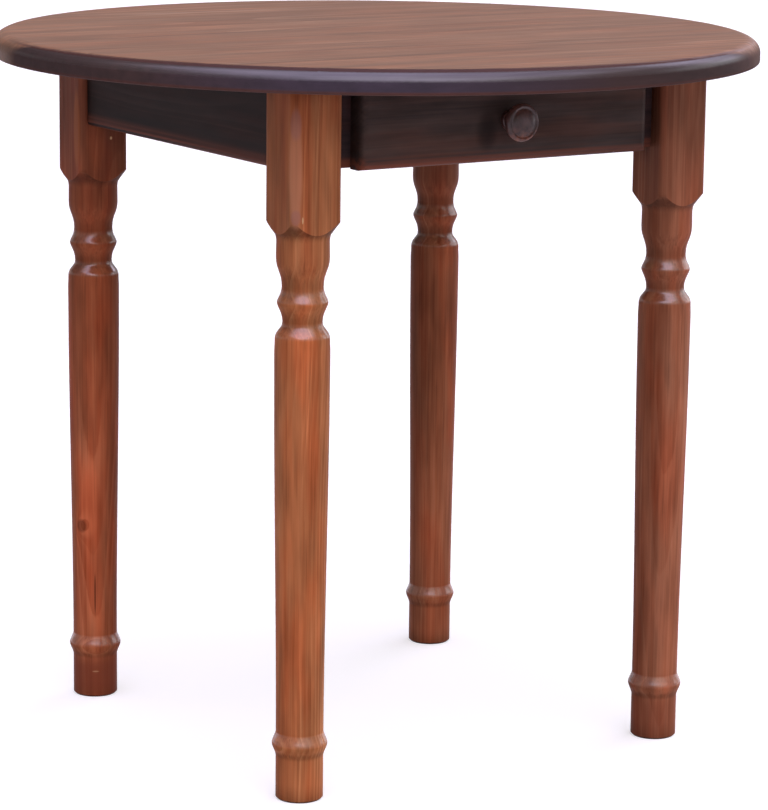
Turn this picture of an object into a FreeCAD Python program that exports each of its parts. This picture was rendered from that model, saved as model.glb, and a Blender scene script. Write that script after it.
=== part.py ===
import FreeCAD, Part
import math
import os

from FreeCAD import Placement, Rotation, Vector

# Round tavern table: edge-glued top, four turned legs, four aprons and one drawer.
# Millimetres. +Z is up, the drawer opens towards -Y, and +X is to the right of someone
# who faces the drawer. The origin is on the floor under the middle of the top.

# ---- whole table ----------------------------------------------------------------------
TABLE_HEIGHT = 740.0
TOP_DIAMETER = 800.0
TOP_THICKNESS = 24.0
TOP_BOARDS = 8               # boards glued edge to edge, front to back
TOP_ROUND_IN = 17.0          # upper edge: how far the rounding reaches in from the rim
TOP_ROUND_DOWN = 14.0        # upper edge: how far it reaches down
TOP_LOWER_ROUND = 2.5        # eased lower edge

# ---- legs -----------------------------------------------------------------------------
LEG_RIM_MARGIN = 48.5        # from the top's rim in to the unrounded corner of a leg
LEG_WIDTH = 57.0             # square stock
LEG_ARRIS = 8.0              # rounding of the square's long edges
LEG_SQUARE = 132.5           # length of the square part, down to where its corners end
FOOT_CHAMFER = 2.0

# Turned stretch under the square, from the top down. Each station is a drop below the
# square and a depth of cut below the stock's flat, with the softness of the curve there:
# 0 makes it pointed, 0.5 makes it round.
CONE_DROP, CONE_CUT = 12.0, 0.5
UPPER_STATIONS = (
    (20.0, 2.3, 0.50),       # top of the vase
    (35.5, 2.1, 0.45),       # belly of the vase
    (64.5, 7.9, 0.50),       # neck above the bead
    (80.0, 3.2, 0.22),       # bead
    (99.0, 8.7, 0.48),       # neck below the bead
    (117.0, 1.3, 0.55),      # shoulder of the shaft
    (128.5, 0.9, 0.35),      # widest point of the shaft
)
# Stations near the floor, again from the top down, by their height above it.
LOWER_STATIONS = (
    (69.5, 4.6, 0.30),       # thin end of the shaft
    (57.5, 0.6, 0.30),       # foot bead
    (44.5, 4.6, 0.30),       # top of the foot
)

# ---- aprons ---------------------------------------------------------------------------
APRON_HEIGHT = 83.0
APRON_THICKNESS = 20.0
APRON_SETBACK = 7.5          # outer face behind the legs' faces, at the sides and back
APRON_ARRIS = 5.0            # rounding of the outer lower edge

# ---- drawer ---------------------------------------------------------------------------
DRAWER_FRONT_SIDE_GAP = 20.5 # between the drawer front and each leg
DRAWER_FRONT_THICKNESS = 22.0
DRAWER_FRONT_ROUND = 8.0     # rounding of the four edges of its face
DRAWER_FRONT_TOP_GAP = 2.0   # under the top
DRAWER_FRONT_OVERHANG = 1.5  # below the aprons
DRAWER_FRONT_LAP = 21.0      # the front reaches this far past each side of the box
DRAWER_REAR_SPACE = 147.5    # between the box and the back apron
DRAWER_KEPT_IN = 100.0       # length of the box that stays in when the drawer is out
DRAWER_SIDE_THICKNESS = 12.0
DRAWER_BACK_THICKNESS = 12.0
DRAWER_BOTTOM_THICKNESS = 4.0
DRAWER_BOTTOM_RAISE = 6.0    # underside of the bottom panel above the sides' lower edge
GROOVE_DEPTH = 5.0           # in the front and the sides, for the bottom panel
PANEL_GAP = 0.3              # between the panel's edges and the grooves' floors
DRAWER_SIDE_PLAY = 2.0       # each side, in the opening and between the guides
DRAWER_TOP_PLAY = 1.5        # under the kickers
SLIDE_GAP = 0.3              # running gap over the runners, and at the outer stop
OPENING_SILL = 15.0          # front apron left under the drawer opening
RUNNER_LIFT = 0.5            # runners stand this much above the sill

# ---- runners, kickers and stop --------------------------------------------------------
RUNNER_WIDTH = 40.0
GUIDE_WIDTH = 20.0
GUIDE_HEIGHT = 23.5          # above the runner
KICKER_WIDTH = 30.0
KICKER_THICKNESS = 12.0
STOP_RAIL_WIDTH = 20.0
STOP_BLOCK_WIDTH = 60.0
STOP_BLOCK_DEPTH = 12.0
STOP_BLOCK_LAP = 14.0        # how far the block laps down over the drawer's back
STOP_BLOCK_TOP_GAP = 3.0     # under the top

# ---- knob, along its axis from the drawer front ---------------------------------------
KNOB_RADIUS = 19.0
KNOB_LENGTH = 28.5
KNOB_FOOT_RADIUS = 10.0
KNOB_FOOT_LENGTH = 2.5
KNOB_NECK_RADIUS = 7.5
KNOB_NECK_REACH = 10.0
KNOB_CROWN_RISE = 2.0        # middle of the face, beyond the ring groove's edges
KNOB_RIM_DROP = 4.0          # from those edges back to where the head is widest
KNOB_RIM_WIDTH = 3.0         # outside the ring groove
KNOB_RING_WIDTH = 3.5
KNOB_RING_DEPTH = 0.8
KNOB_CROWN_RADIUS = 3.0      # flat middle of the face

# ---- fasteners ------------------------------------------------------------------------
FIT = 0.05                   # radial clearance of a dowel, screw or pin in its hole
HOLE_SPARE = 0.5             # a blind hole is this much deeper than what it holds
DOWEL_CHAMFER = 1.0
LEG_DOWEL_RADIUS = 5.0
LEG_DOWEL_DEPTH = 20.0       # into the leg, and into the apron
LEG_DOWEL_INSET = 22.0       # from the apron's edges
SMALL_DOWEL_RADIUS = 3.0
RUNNER_DOWEL_IN_APRON = 12.0
SMALL_DOWEL_IN_END = 18.0    # into the end of a runner or a drawer board
DOWEL_IN_DRAWER_FRONT = 10.0
DOWEL_IN_DRAWER_SIDE = 8.0
SMALL_DOWEL_INSET = 7.5      # from the edge of a runner or guide
DRAWER_DOWEL_INSET = 10.5    # from the bottom panel or the upper edge
SCREW_RADIUS = 2.0
SCREW_HEAD_RADIUS = 4.0
SCREW_HEAD_HEIGHT = 2.4
SCREW_TIP = 4.0
SCREW_TIP_RADIUS = 0.4
KICKER_SCREW_LENGTH = 25.0
BLOCK_SCREW_LENGTH = 22.0
BRACKET_SCREW_LENGTH = 16.0
RECESS_WIDTH = 0.9           # cross recess of a screw head
RECESS_LENGTH = 4.4
RECESS_DEPTH = 1.4
STOP_RAIL_SCREW_INSET = 48.0 # from the rail's ends
STOP_BLOCK_SCREW_SPREAD = 36.0
KNOB_SCREW_RADIUS = 2.0
KNOB_SCREW_IN_KNOB = 14.0
KNOB_SCREW_HEAD_RADIUS = 4.2
KNOB_SCREW_HEAD_HEIGHT = 2.6
PIN_RADIUS = 0.8
PIN_HEAD_RADIUS = 1.8
PIN_HEAD_HEIGHT = 0.6
PIN_LENGTH = 18.0
PIN_INSET = 58.0             # outer pins, from the ends of the drawer's back
BRACKET_WIDTH = 20.0
BRACKET_LEG = 25.0
BRACKET_THICKNESS = 2.0
BRACKET_INSET = 61.5         # middle of a side apron's bracket, from the leg
BACK_BRACKET_INSET = 68.0    # middle of a back apron's bracket, from the kicker

# ---- what follows from them -----------------------------------------------------------
TOP_RADIUS = TOP_DIAMETER / 2
TOP_UNDERSIDE = TABLE_HEIGHT - TOP_THICKNESS
BOARD_WIDTH = TOP_DIAMETER / TOP_BOARDS
LEG_HALF = LEG_WIDTH / 2
LEG_OUTER = (TOP_RADIUS - LEG_RIM_MARGIN) / math.sqrt(2)
LEG_AXIS = LEG_OUTER - LEG_HALF
LEG_INNER = LEG_OUTER - LEG_WIDTH
SQUARE_END = TOP_UNDERSIDE - LEG_SQUARE
APRON_BOTTOM = TOP_UNDERSIDE - APRON_HEIGHT
APRON_OUTER = LEG_OUTER - APRON_SETBACK
APRON_INNER = APRON_OUTER - APRON_THICKNESS
FRONT_APRON_OUTER = LEG_OUTER - DRAWER_FRONT_THICKNESS
FRONT_APRON_INNER = FRONT_APRON_OUTER - APRON_THICKNESS
OPENING_BOTTOM = APRON_BOTTOM + OPENING_SILL
OPENING_TOP = TOP_UNDERSIDE - KICKER_THICKNESS
FRONT_HALF = LEG_INNER - DRAWER_FRONT_SIDE_GAP
DRAWER_HALF = FRONT_HALF - DRAWER_FRONT_LAP
DRAWER_INNER = DRAWER_HALF - DRAWER_SIDE_THICKNESS
OPENING_HALF = DRAWER_HALF + DRAWER_SIDE_PLAY
RUNNER_TOP = OPENING_BOTTOM + RUNNER_LIFT
RUNNER_BOTTOM = APRON_BOTTOM + RUNNER_LIFT
GUIDE_TOP = RUNNER_TOP + GUIDE_HEIGHT
GUIDE_OUTER = OPENING_HALF + GUIDE_WIDTH
DRAWER_FLOOR = RUNNER_TOP + SLIDE_GAP
DRAWER_TOP = OPENING_TOP - DRAWER_TOP_PLAY
DRAWER_JOINT_Y = -FRONT_APRON_OUTER
DRAWER_REAR_Y = APRON_INNER - DRAWER_REAR_SPACE
DRAWER_TRAVEL = DRAWER_REAR_Y - DRAWER_JOINT_Y - DRAWER_KEPT_IN
KICKER_INNER = (DRAWER_INNER + DRAWER_HALF - KICKER_WIDTH) / 2
PANEL_UNDERSIDE = DRAWER_FLOOR + DRAWER_BOTTOM_RAISE
PANEL_TOP = PANEL_UNDERSIDE + DRAWER_BOTTOM_THICKNESS
FRONT_BOTTOM = APRON_BOTTOM - DRAWER_FRONT_OVERHANG
FRONT_TOP = TOP_UNDERSIDE - DRAWER_FRONT_TOP_GAP
KNOB_HEIGHT = (FRONT_BOTTOM + FRONT_TOP) / 2
KNOB_FACE_REACH = KNOB_LENGTH - KNOB_CROWN_RISE
KNOB_RIM_REACH = KNOB_FACE_REACH - KNOB_RIM_DROP
KNOB_RING_OUTER = KNOB_RADIUS - KNOB_RIM_WIDTH
KNOB_RING_INNER = KNOB_RING_OUTER - KNOB_RING_WIDTH
STOP_RAIL_REAR = DRAWER_REAR_Y - DRAWER_TRAVEL - SLIDE_GAP
DRAWER_DOWEL_HEIGHTS = (PANEL_TOP + DRAWER_DOWEL_INSET, DRAWER_TOP - DRAWER_DOWEL_INSET)

X_AXIS = Vector(1, 0, 0)
Y_AXIS = Vector(0, 1, 0)
Z_AXIS = Vector(0, 0, 1)
QUARTER_ROUND = 0.5523       # handle of a cubic curve that follows a quarter circle
CUT_MARGIN = 1.0             # cutters run this much past the faces that they open
SAME_PLACE = 0.1             # two places nearer than this are one
SAME_WAY = 0.9               # cosine above which two directions are one


# ---- shapes shared by several pieces --------------------------------------------------
def block(low, high):
    """Box between two corners."""
    size = [b - a for a, b in zip(low, high)]
    return Part.makeBox(*size, Vector(*low))


def mirrored_block(side, low, high):
    """Box on the +X side, or its mirror image when side is -1."""
    if side > 0:
        return block(low, high)
    return block((-high[0], low[1], low[2]), (-low[0], high[1], high[2]))


def placed(shape, at, axis):
    """Copy of a shape made along +Z, moved to a point and turned to an axis."""
    copy = shape.copy()
    copy.Placement = Placement(at, Rotation(Z_AXIS, axis))
    return copy


def cut_all(shape, cutters):
    """The shape without its cutters."""
    return shape.cut(Part.makeCompound(cutters)) if cutters else shape


def solid_of(shape):
    """The one solid that a boolean's result must hold."""
    solid, = shape.Solids
    return solid


def turned(edges):
    """Solid turned about +Z from profile edges in the XZ plane."""
    face = Part.Face(Part.Wire(edges))
    return face.revolve(Vector(0, 0, 0), Z_AXIS, 360)


def line(start, end):
    """Profile edge between two points given as radius and height."""
    return Part.makeLine(Vector(start[0], 0, start[1]), Vector(end[0], 0, end[1]))


def curve(*poles):
    """Cubic profile edge through its poles, given as radius and height."""
    bezier = Part.BezierCurve()
    bezier.setPoles([Vector(radius, 0, height) for radius, height in poles])
    return bezier.toShape()


def rounded_edges(shape, radius, chosen):
    """The shape with the edges that pass the test rounded."""
    return shape.makeFillet(radius, [edge for edge in shape.Edges if chosen(edge)])


def runs_along(edge, axis):
    """Whether a straight edge runs along an axis, either way."""
    return abs(edge.tangentAt(edge.FirstParameter).dot(axis)) > SAME_WAY


def dowel(radius, first_depth, second_depth):
    """Dowel along +Z with its joint plane at zero."""
    body = Part.makeCylinder(radius, first_depth + second_depth, Vector(0, 0, -first_depth))
    return body.makeChamfer(DOWEL_CHAMFER, [edge for edge in body.Edges if edge.Closed])


def dowel_hole(radius, first_depth, second_depth):
    """Hole for that dowel in both pieces."""
    length = first_depth + second_depth + 2 * HOLE_SPARE
    return Part.makeCylinder(radius + FIT, length, Vector(0, 0, -first_depth - HOLE_SPARE))


def wood_screw(length, clearance=0.0):
    """Countersunk screw along +Z, its head flush with zero, or its hole."""
    head = SCREW_HEAD_RADIUS + clearance
    shank = SCREW_RADIUS + clearance
    neck = SCREW_HEAD_HEIGHT
    return turned([
        line((0, 0), (head, 0)),
        line((head, 0), (shank, neck)),
        line((shank, neck), (shank, length - SCREW_TIP)),
        line((shank, length - SCREW_TIP), (SCREW_TIP_RADIUS + clearance, length)),
        line((SCREW_TIP_RADIUS + clearance, length), (0, length)),
        line((0, length), (0, 0)),
    ])


def driven_screw(length):
    """Countersunk screw with a cross recess in its head."""
    half_width = RECESS_WIDTH / 2
    half_length = RECESS_LENGTH / 2
    bars = [
        block((-half_length, -half_width, -CUT_MARGIN), (half_length, half_width, RECESS_DEPTH)),
        block((-half_width, -half_length, -CUT_MARGIN), (half_width, half_length, RECESS_DEPTH)),
    ]
    return solid_of(cut_all(wood_screw(length), bars))


# ---- top ------------------------------------------------------------------------------
def top_disc():
    """The whole round top, with its edge shaped."""
    rim = TOP_RADIUS
    low, high = TOP_UNDERSIDE, TABLE_HEIGHT
    lower, inwards, down = TOP_LOWER_ROUND, TOP_ROUND_IN, TOP_ROUND_DOWN
    soft = 1 - QUARTER_ROUND
    return turned([
        line((0, low), (rim - lower, low)),
        curve((rim - lower, low), (rim - lower * soft, low),
              (rim, low + lower * soft), (rim, low + lower)),
        line((rim, low + lower), (rim, high - down)),
        curve((rim, high - down), (rim, high - down * soft),
              (rim - inwards * soft, high), (rim - inwards, high)),
        line((rim - inwards, high), (0, high)),
        line((0, high), (0, low)),
    ])


def top_board(drilled_disc, index):
    """One board of the top, counted from the front."""
    front = -TOP_RADIUS + index * BOARD_WIDTH
    strip = block((-TOP_RADIUS, front, TOP_UNDERSIDE),
                  (TOP_RADIUS, front + BOARD_WIDTH, TABLE_HEIGHT))
    return solid_of(drilled_disc.common(strip))


# ---- legs -----------------------------------------------------------------------------
def leg_stations():
    """Turned stations from the top down: height, radius and softness."""
    upper = [(SQUARE_END - drop, LEG_HALF - cut, soft) for drop, cut, soft in UPPER_STATIONS]
    lower = [(height, LEG_HALF - cut, soft) for height, cut, soft in LOWER_STATIONS]
    return upper + lower


def leg_blank():
    """Leg on its own axis: a turned solid limited to the square stock."""
    stations = leg_stations()
    vase_height, vase_radius, vase_soft = stations[0]
    corner = (LEG_HALF - LEG_ARRIS) * math.sqrt(2) + LEG_ARRIS
    foot_of_cone = LEG_HALF - CONE_CUT
    cone_bottom = SQUARE_END - CONE_DROP
    slope = CONE_DROP / (corner - foot_of_cone)
    reach = corner + CUT_MARGIN
    cone_top = SQUARE_END + CUT_MARGIN * slope
    inwards = (foot_of_cone - vase_radius) * vase_soft
    edges = [
        line((0, TOP_UNDERSIDE), (reach, TOP_UNDERSIDE)),
        line((reach, TOP_UNDERSIDE), (reach, cone_top)),
        line((reach, cone_top), (foot_of_cone, cone_bottom)),
        curve((foot_of_cone, cone_bottom), (foot_of_cone - inwards, cone_bottom - inwards * slope),
              (vase_radius, vase_height + (cone_bottom - vase_height) * vase_soft),
              (vase_radius, vase_height)),
    ]
    for (high, wide, soft), (low, narrow, next_soft) in zip(stations, stations[1:]):
        span = high - low
        edges.append(curve((wide, high), (wide, high - span * soft),
                           (narrow, low + span * next_soft), (narrow, low)))
    foot_height, foot_radius, _ = stations[-1]
    edges += [
        line((foot_radius, foot_height), (foot_radius, FOOT_CHAMFER)),
        line((foot_radius, FOOT_CHAMFER), (foot_radius - FOOT_CHAMFER, 0)),
        line((foot_radius - FOOT_CHAMFER, 0), (0, 0)),
        line((0, 0), (0, TOP_UNDERSIDE)),
    ]
    stock = block((-LEG_HALF, -LEG_HALF, 0), (LEG_HALF, LEG_HALF, TOP_UNDERSIDE))
    stock = rounded_edges(stock, LEG_ARRIS, lambda edge: runs_along(edge, Z_AXIS))
    return solid_of(turned(edges).common(stock))


def apron_mid_y(front_or_back):
    """Middle of the front apron's thickness (-1) or of the back apron's (+1)."""
    outer = FRONT_APRON_OUTER if front_or_back < 0 else APRON_OUTER
    return front_or_back * (outer - APRON_THICKNESS / 2)


def leg_dowel_sites(side, front_or_back):
    """Joint points of one leg's four dowels, each with the axis that leaves the leg."""
    heights = (APRON_BOTTOM + LEG_DOWEL_INSET, TOP_UNDERSIDE - LEG_DOWEL_INSET)
    side_apron_x = side * (APRON_OUTER - APRON_THICKNESS / 2)
    sites = []
    for height in heights:
        sites.append((Vector(side_apron_x, front_or_back * LEG_INNER, height),
                      Y_AXIS * -front_or_back))
        sites.append((Vector(side * LEG_INNER, apron_mid_y(front_or_back), height),
                      X_AXIS * -side))
    return sites


def all_leg_dowel_sites():
    """Sites of the dowels of all four legs."""
    return [site for _, side, end in LEGS for site in leg_dowel_sites(side, end)]


def leg_dowel_holes():
    """Holes of all the leg dowels, through legs and aprons."""
    hole = dowel_hole(LEG_DOWEL_RADIUS, LEG_DOWEL_DEPTH, LEG_DOWEL_DEPTH)
    return [placed(hole, at, axis) for at, axis in all_leg_dowel_sites()]


def leg(blank, side, front_or_back):
    """Leg in its place, drilled for its dowels."""
    standing = blank.copy()
    standing.translate(Vector(side * LEG_AXIS, front_or_back * LEG_AXIS, 0))
    return solid_of(cut_all(standing, leg_dowel_holes()))


LEGS = (
    ("leg_front_left", -1, -1),
    ("leg_front_right", 1, -1),
    ("leg_back_left", -1, 1),
    ("leg_back_right", 1, 1),
)


# ---- screws and dowels: where they sit ------------------------------------------------
def kicker_screw_sites():
    """One screw through each kicker into every board whose middle it crosses."""
    x = (DRAWER_INNER + DRAWER_HALF) / 2
    sites = []
    for index in range(TOP_BOARDS):
        y = -TOP_RADIUS + (index + 0.5) * BOARD_WIDTH
        if -FRONT_APRON_INNER + SCREW_HEAD_RADIUS < y < APRON_INNER - SCREW_HEAD_RADIUS:
            sites += [(Vector(side * x, y, OPENING_TOP), Z_AXIS, KICKER_SCREW_LENGTH)
                      for side in (-1, 1)]
    return sites


def stop_rail_screw_sites():
    """Screws through the stop rail into the top."""
    y = STOP_RAIL_REAR - STOP_RAIL_WIDTH / 2
    x = KICKER_INNER - STOP_RAIL_SCREW_INSET
    return [(Vector(side * x, y, OPENING_TOP), Z_AXIS, KICKER_SCREW_LENGTH)
            for side in (-1, 1)]


def stop_block_screw_sites():
    """Screws through the stop block into the drawer's back."""
    y = DRAWER_REAR_Y + STOP_BLOCK_DEPTH
    z = DRAWER_TOP - STOP_BLOCK_LAP / 2
    return [(Vector(side * STOP_BLOCK_SCREW_SPREAD / 2, y, z), -Y_AXIS, BLOCK_SCREW_LENGTH)
            for side in (-1, 1)]


def bracket_corners():
    """Each bracket's corner between apron and top, with the direction out of the apron."""
    y = LEG_INNER - BRACKET_INSET
    x = KICKER_INNER - BACK_BRACKET_INSET
    corners = [(Vector(side * APRON_INNER, along * y, TOP_UNDERSIDE), X_AXIS * -side)
               for side in (-1, 1) for along in (-1, 1)]
    corners += [(Vector(along * x, APRON_INNER, TOP_UNDERSIDE), -Y_AXIS) for along in (-1, 1)]
    return corners


def bracket_screw_sites():
    """Two screws per bracket: one up into the top, one into the apron."""
    middle = (BRACKET_LEG + BRACKET_THICKNESS) / 2
    sites = []
    for corner, out in bracket_corners():
        up_from = corner + out * middle - Z_AXIS * BRACKET_THICKNESS
        in_from = corner + out * BRACKET_THICKNESS - Z_AXIS * middle
        sites.append((up_from, Z_AXIS, BRACKET_SCREW_LENGTH))
        sites.append((in_from, -out, BRACKET_SCREW_LENGTH))
    return sites


def screws(sites):
    """Group of screws at their sites."""
    models = {length: driven_screw(length) for _, _, length in sites}
    return Part.makeCompound([placed(models[length], at, axis) for at, axis, length in sites])


def screw_holes(sites):
    """Their holes."""
    return [placed(wood_screw(length, FIT), at, axis) for at, axis, length in sites]


def runner_dowel_sites():
    """Two dowels at each end of each runner, with the axis into the runner."""
    x = GUIDE_OUTER - GUIDE_WIDTH / 2
    heights = (RUNNER_BOTTOM + SMALL_DOWEL_INSET, GUIDE_TOP - SMALL_DOWEL_INSET)
    ends = ((-FRONT_APRON_INNER, Y_AXIS), (APRON_INNER, -Y_AXIS))
    return [(Vector(side * x, y, z), axis)
            for side in (-1, 1) for z in heights for y, axis in ends]


def drawer_front_dowel_sites():
    """Dowels from the drawer front into its sides."""
    x = (DRAWER_INNER + DRAWER_HALF) / 2
    return [(Vector(side * x, DRAWER_JOINT_Y, z), Y_AXIS)
            for side in (-1, 1) for z in DRAWER_DOWEL_HEIGHTS]


def drawer_back_dowel_sites():
    """Dowels from the drawer sides into its back."""
    y = DRAWER_REAR_Y - DRAWER_BACK_THICKNESS / 2
    return [(Vector(side * DRAWER_INNER, y, z), X_AXIS * -side)
            for side in (-1, 1) for z in DRAWER_DOWEL_HEIGHTS]


RUNNER_DOWEL = (SMALL_DOWEL_RADIUS, RUNNER_DOWEL_IN_APRON, SMALL_DOWEL_IN_END)
DRAWER_FRONT_DOWEL = (SMALL_DOWEL_RADIUS, DOWEL_IN_DRAWER_FRONT, SMALL_DOWEL_IN_END)
DRAWER_BACK_DOWEL = (SMALL_DOWEL_RADIUS, DOWEL_IN_DRAWER_SIDE, SMALL_DOWEL_IN_END)


def dowels(sizes, sites):
    """Dowels at their sites."""
    model = dowel(*sizes)
    return [placed(model, at, axis) for at, axis in sites]


def dowel_holes(sizes, sites):
    """Their holes."""
    model = dowel_hole(*sizes)
    return [placed(model, at, axis) for at, axis in sites]


# ---- aprons ---------------------------------------------------------------------------
def ease_lower_edge(board, out):
    """The apron with the lower edge of its outer face rounded; out leaves that face."""
    def chosen(edge):
        middle = edge.CenterOfMass
        outer = abs(middle.dot(out) - APRON_OUTER) < SAME_PLACE
        return outer and abs(middle.z - APRON_BOTTOM) < SAME_PLACE
    return rounded_edges(board, APRON_ARRIS, chosen)


def side_apron(side):
    """Apron between the front and back legs of one side."""
    board = mirrored_block(side, (APRON_INNER, -LEG_INNER, APRON_BOTTOM),
                           (APRON_OUTER, LEG_INNER, TOP_UNDERSIDE))
    board = ease_lower_edge(board, X_AXIS * side)
    return solid_of(cut_all(board, leg_dowel_holes() + screw_holes(bracket_screw_sites())))


def back_apron():
    """Apron between the back legs."""
    board = block((-LEG_INNER, APRON_INNER, APRON_BOTTOM), (LEG_INNER, APRON_OUTER, TOP_UNDERSIDE))
    board = ease_lower_edge(board, Y_AXIS)
    holes = leg_dowel_holes() + screw_holes(bracket_screw_sites())
    holes += dowel_holes(RUNNER_DOWEL, runner_dowel_sites())
    return solid_of(cut_all(board, holes))


def front_apron():
    """Apron behind the drawer front, with the opening that the drawer passes through."""
    outer, inner = -FRONT_APRON_OUTER, -FRONT_APRON_INNER
    board = block((-LEG_INNER, outer, APRON_BOTTOM), (LEG_INNER, inner, TOP_UNDERSIDE))
    opening = block((-OPENING_HALF, outer - CUT_MARGIN, OPENING_BOTTOM),
                    (OPENING_HALF, inner + CUT_MARGIN, OPENING_TOP))
    holes = leg_dowel_holes() + dowel_holes(RUNNER_DOWEL, runner_dowel_sites())
    return solid_of(cut_all(board, [opening] + holes))


# ---- drawer runners, kickers and stop -------------------------------------------------
def drawer_runner(side):
    """L-shaped runner: a ledge under the drawer's side and a guide beside it."""
    front, rear = -FRONT_APRON_INNER, APRON_INNER
    ledge = mirrored_block(side, (GUIDE_OUTER - RUNNER_WIDTH, front, RUNNER_BOTTOM),
                           (GUIDE_OUTER, rear, RUNNER_TOP))
    guide = mirrored_block(side, (OPENING_HALF, front, RUNNER_TOP), (GUIDE_OUTER, rear, GUIDE_TOP))
    runner = ledge.fuse(guide).removeSplitter()
    return solid_of(cut_all(runner, dowel_holes(RUNNER_DOWEL, runner_dowel_sites())))


def kicker(side):
    """Batten under the top, over one side of the drawer."""
    batten = mirrored_block(side, (KICKER_INNER, -FRONT_APRON_INNER, OPENING_TOP),
                            (KICKER_INNER + KICKER_WIDTH, APRON_INNER, TOP_UNDERSIDE))
    return solid_of(cut_all(batten, screw_holes(kicker_screw_sites())))


def stop_rail():
    """Rail between the kickers, which the stop block meets when the drawer is out."""
    rail = block((-KICKER_INNER, STOP_RAIL_REAR - STOP_RAIL_WIDTH, OPENING_TOP),
                 (KICKER_INNER, STOP_RAIL_REAR, TOP_UNDERSIDE))
    return solid_of(cut_all(rail, screw_holes(stop_rail_screw_sites())))


def stop_block():
    """Block on the drawer's back that stands up behind the stop rail."""
    half = STOP_BLOCK_WIDTH / 2
    piece = block((-half, DRAWER_REAR_Y, DRAWER_TOP - STOP_BLOCK_LAP),
                  (half, DRAWER_REAR_Y + STOP_BLOCK_DEPTH, TOP_UNDERSIDE - STOP_BLOCK_TOP_GAP))
    return solid_of(cut_all(piece, screw_holes(stop_block_screw_sites())))


# ---- steel brackets -------------------------------------------------------------------
def top_bracket(corner, out):
    """Angle bracket in the corner between an apron and the top, with its screw holes."""
    along = out.cross(Z_AXIS)
    low = -BRACKET_WIDTH / 2
    plate = Part.makePolygon([
        corner + along * low,
        corner + along * low + out * BRACKET_LEG,
        corner + along * low + out * BRACKET_LEG - Z_AXIS * BRACKET_THICKNESS,
        corner + along * low + out * BRACKET_THICKNESS - Z_AXIS * BRACKET_THICKNESS,
        corner + along * low + out * BRACKET_THICKNESS - Z_AXIS * BRACKET_LEG,
        corner + along * low - Z_AXIS * BRACKET_LEG,
        corner + along * low,
    ])
    angle = Part.Face(plate).extrude(along * BRACKET_WIDTH)
    return solid_of(cut_all(angle, screw_holes(bracket_screw_sites())))


# ---- drawer ---------------------------------------------------------------------------
def panel_groove():
    """Cutter for the groove that holds the bottom panel in the front and the sides."""
    half = DRAWER_INNER + GROOVE_DEPTH
    return block((-half, DRAWER_JOINT_Y - GROOVE_DEPTH, PANEL_UNDERSIDE - FIT),
                 (half, DRAWER_REAR_Y + CUT_MARGIN, PANEL_TOP + FIT))


def drawer_front():
    """Board that covers the opening, its face edges rounded all round."""
    face_y = -LEG_OUTER
    board = block((-FRONT_HALF, face_y, FRONT_BOTTOM), (FRONT_HALF, DRAWER_JOINT_Y, FRONT_TOP))
    board = rounded_edges(board, DRAWER_FRONT_ROUND,
                          lambda edge: abs(edge.CenterOfMass.y - face_y) < SAME_PLACE)
    through = Part.makeCylinder(KNOB_SCREW_RADIUS + FIT, DRAWER_FRONT_THICKNESS + 2 * CUT_MARGIN,
                                Vector(0, face_y - CUT_MARGIN, KNOB_HEIGHT), Y_AXIS)
    holes = dowel_holes(DRAWER_FRONT_DOWEL, drawer_front_dowel_sites())
    return solid_of(cut_all(board, [panel_groove(), through] + holes))


def drawer_side(side):
    """Side of the drawer box."""
    board = mirrored_block(side, (DRAWER_INNER, DRAWER_JOINT_Y, DRAWER_FLOOR),
                           (DRAWER_HALF, DRAWER_REAR_Y, DRAWER_TOP))
    holes = dowel_holes(DRAWER_FRONT_DOWEL, drawer_front_dowel_sites())
    holes += dowel_holes(DRAWER_BACK_DOWEL, drawer_back_dowel_sites())
    return solid_of(cut_all(board, [panel_groove()] + holes))


def pin_sites():
    """Pins up through the bottom panel into the drawer's back."""
    y = DRAWER_REAR_Y - DRAWER_BACK_THICKNESS / 2
    outer = DRAWER_INNER - PIN_INSET
    return [Vector(step * outer, y, PANEL_UNDERSIDE) for step in (-1, 0, 1)]


def pin(at, clearance=0.0):
    """Headed pin along +Z, its head sunk flush, or its hole."""
    head = Part.makeCylinder(PIN_HEAD_RADIUS + clearance, PIN_HEAD_HEIGHT, at)
    shank = Part.makeCylinder(PIN_RADIUS + clearance, PIN_LENGTH + clearance, at)
    return solid_of(head.fuse(shank))


def drawer_back():
    """Back of the drawer box, standing on the bottom panel between the sides."""
    board = block((-DRAWER_INNER, DRAWER_REAR_Y - DRAWER_BACK_THICKNESS, PANEL_TOP),
                  (DRAWER_INNER, DRAWER_REAR_Y, DRAWER_TOP))
    holes = dowel_holes(DRAWER_BACK_DOWEL, drawer_back_dowel_sites())
    holes += screw_holes(stop_block_screw_sites())
    holes += [pin(at, FIT) for at in pin_sites()]
    return solid_of(cut_all(board, holes))


def drawer_bottom():
    """Thin panel in the grooves, pinned under the back."""
    half = DRAWER_INNER + GROOVE_DEPTH - PANEL_GAP
    panel = block((-half, DRAWER_JOINT_Y - GROOVE_DEPTH + PANEL_GAP, PANEL_UNDERSIDE),
                  (half, DRAWER_REAR_Y, PANEL_TOP))
    return solid_of(cut_all(panel, [pin(at, FIT) for at in pin_sites()]))


def knob_axis_point():
    """Where the knob's axis leaves the drawer front."""
    return Vector(0, -LEG_OUTER, KNOB_HEIGHT)


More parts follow.
